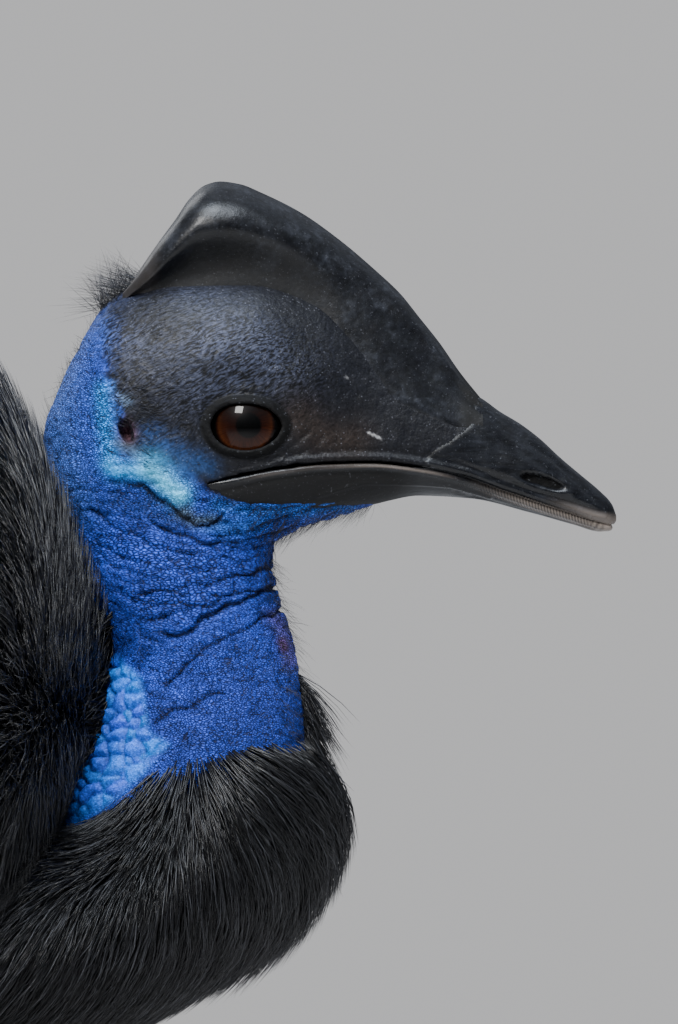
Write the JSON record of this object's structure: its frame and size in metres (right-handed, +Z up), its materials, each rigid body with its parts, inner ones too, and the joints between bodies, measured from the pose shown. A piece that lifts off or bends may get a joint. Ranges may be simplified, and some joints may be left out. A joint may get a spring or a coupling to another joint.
{
  "type": "dwarf cassowary model",
  "caption": "Life-size dwarf cassowary standing with its neck drawn back in an S, bare blue neck, black casque and hair-like black plumage.",
  "frame": {"origin": "on the floor, under the middle of the model's bounding box", "axes": "+X the way the bill points, +Y to the bird's left, +Z up"},
  "size_m": [0.7634, 0.3832, 0.7328],
  "materials": {
    "face_skin": "black bare skin with fine bristles, satin",
    "neck_skin": "cobalt blue pebbled and creased skin, light blue warts behind",
    "horn": "black horn, smooth and slightly glossy",
    "eye": "wet, dark red-brown iris and black pupil",
    "plumage": "long coarse hair-like feathers, black with a dull sheen",
    "leg_scales": "grey-brown scaled skin, matt",
    "claw": "dark horn, satin"
  },
  "bodies": {
    "root": {"head": "face_skin", "casque": "horn", "bill_upper": "horn", "bill_lower": "horn", "eye_left": "eye", "eye_right": "eye", "neck": "neck_skin", "collar": "plumage", "torso": "plumage", "wing_left": "plumage", "thigh_left": "plumage", "shank_left": "leg_scales", "toe_middle_left": "leg_scales", "claw_middle_left": "claw", "toe_inner_left": "leg_scales", "claw_inner_left": "claw", "toe_outer_left": "leg_scales", "claw_outer_left": "claw", "wing_right": "plumage", "thigh_right": "plumage", "shank_right": "leg_scales", "toe_middle_right": "leg_scales", "claw_middle_right": "claw", "toe_inner_right": "leg_scales", "claw_inner_right": "claw", "toe_outer_right": "leg_scales", "claw_outer_right": "claw"}
  },
  "joints": []
}
